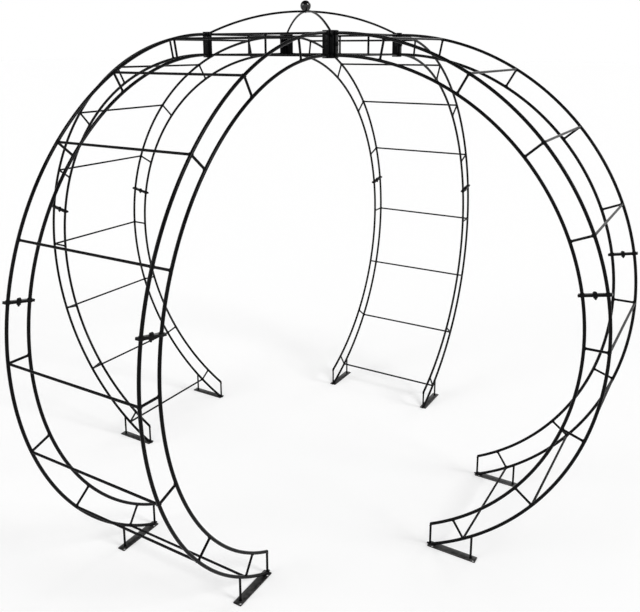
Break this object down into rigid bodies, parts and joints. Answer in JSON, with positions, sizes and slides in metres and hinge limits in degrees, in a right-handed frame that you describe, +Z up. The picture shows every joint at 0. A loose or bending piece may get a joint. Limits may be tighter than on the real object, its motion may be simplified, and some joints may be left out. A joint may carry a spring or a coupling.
{
  "type": "open garden gazebo frame with a domed top",
  "caption": "Open black steel garden gazebo: curved ladder arms spring from bolted feet to a square crown with crossed hoops and a ball finial.",
  "frame": {"origin": "centre of the gazebo on the ground, in the plane of the foot plates' undersides", "axes": "+Z up; the front arm runs towards -Y, the right arm towards +X, the back arm towards +Y and the left arm towards -X"},
  "size_m": [3.6398, 3.6398, 2.8569],
  "materials": {
    "frame_coat": "satin black powder coat on the rib bars",
    "rod_coat": "satin black powder coat on the rungs, crown bars and hoops",
    "plate_coat": "dull black powder coat on the foot plates and corner angles",
    "ball_coat": "glossy black powder coat on the ball",
    "bolt_coat": "black coated bolts and nuts"
  },
  "bodies": {
    "root": {"front_upper_rib_left": "frame_coat", "front_upper_rib_right": "frame_coat", "right_upper_rib_left": "frame_coat", "right_upper_rib_right": "frame_coat", "back_upper_rib_left": "frame_coat", "back_upper_rib_right": "frame_coat", "left_upper_rib_left": "frame_coat", "left_upper_rib_right": "frame_coat", "front_lower_rib_left": "frame_coat", "front_lower_rib_right": "frame_coat", "right_lower_rib_left": "frame_coat", "right_lower_rib_right": "frame_coat", "back_lower_rib_left": "frame_coat", "back_lower_rib_right": "frame_coat", "left_lower_rib_left": "frame_coat", "left_lower_rib_right": "frame_coat", "front_foot_plate_left": "plate_coat", "front_foot_plate_right": "plate_coat", "right_foot_plate_left": "plate_coat", "right_foot_plate_right": "plate_coat", "back_foot_plate_left": "plate_coat", "back_foot_plate_right": "plate_coat", "left_foot_plate_left": "plate_coat", "left_foot_plate_right": "plate_coat", "front_upper_rungs": "rod_coat", "right_upper_rungs": "rod_coat", "back_upper_rungs": "rod_coat", "left_upper_rungs": "rod_coat", "front_lower_rungs": "rod_coat", "right_lower_rungs": "rod_coat", "back_lower_rungs": "rod_coat", "left_lower_rungs": "rod_coat", "front_crown_side": "rod_coat", "right_crown_side": "rod_coat", "back_crown_side": "rod_coat", "left_crown_side": "rod_coat", "front_right_corner_angle": "plate_coat", "back_right_corner_angle": "plate_coat", "back_left_corner_angle": "plate_coat", "front_left_corner_angle": "plate_coat", "whole_hoop": "rod_coat", "split_hoop": "rod_coat", "ball_finial": "ball_coat", "rib_joint_bolts": "bolt_coat", "crown_bolts": "bolt_coat"}
  },
  "joints": []
}
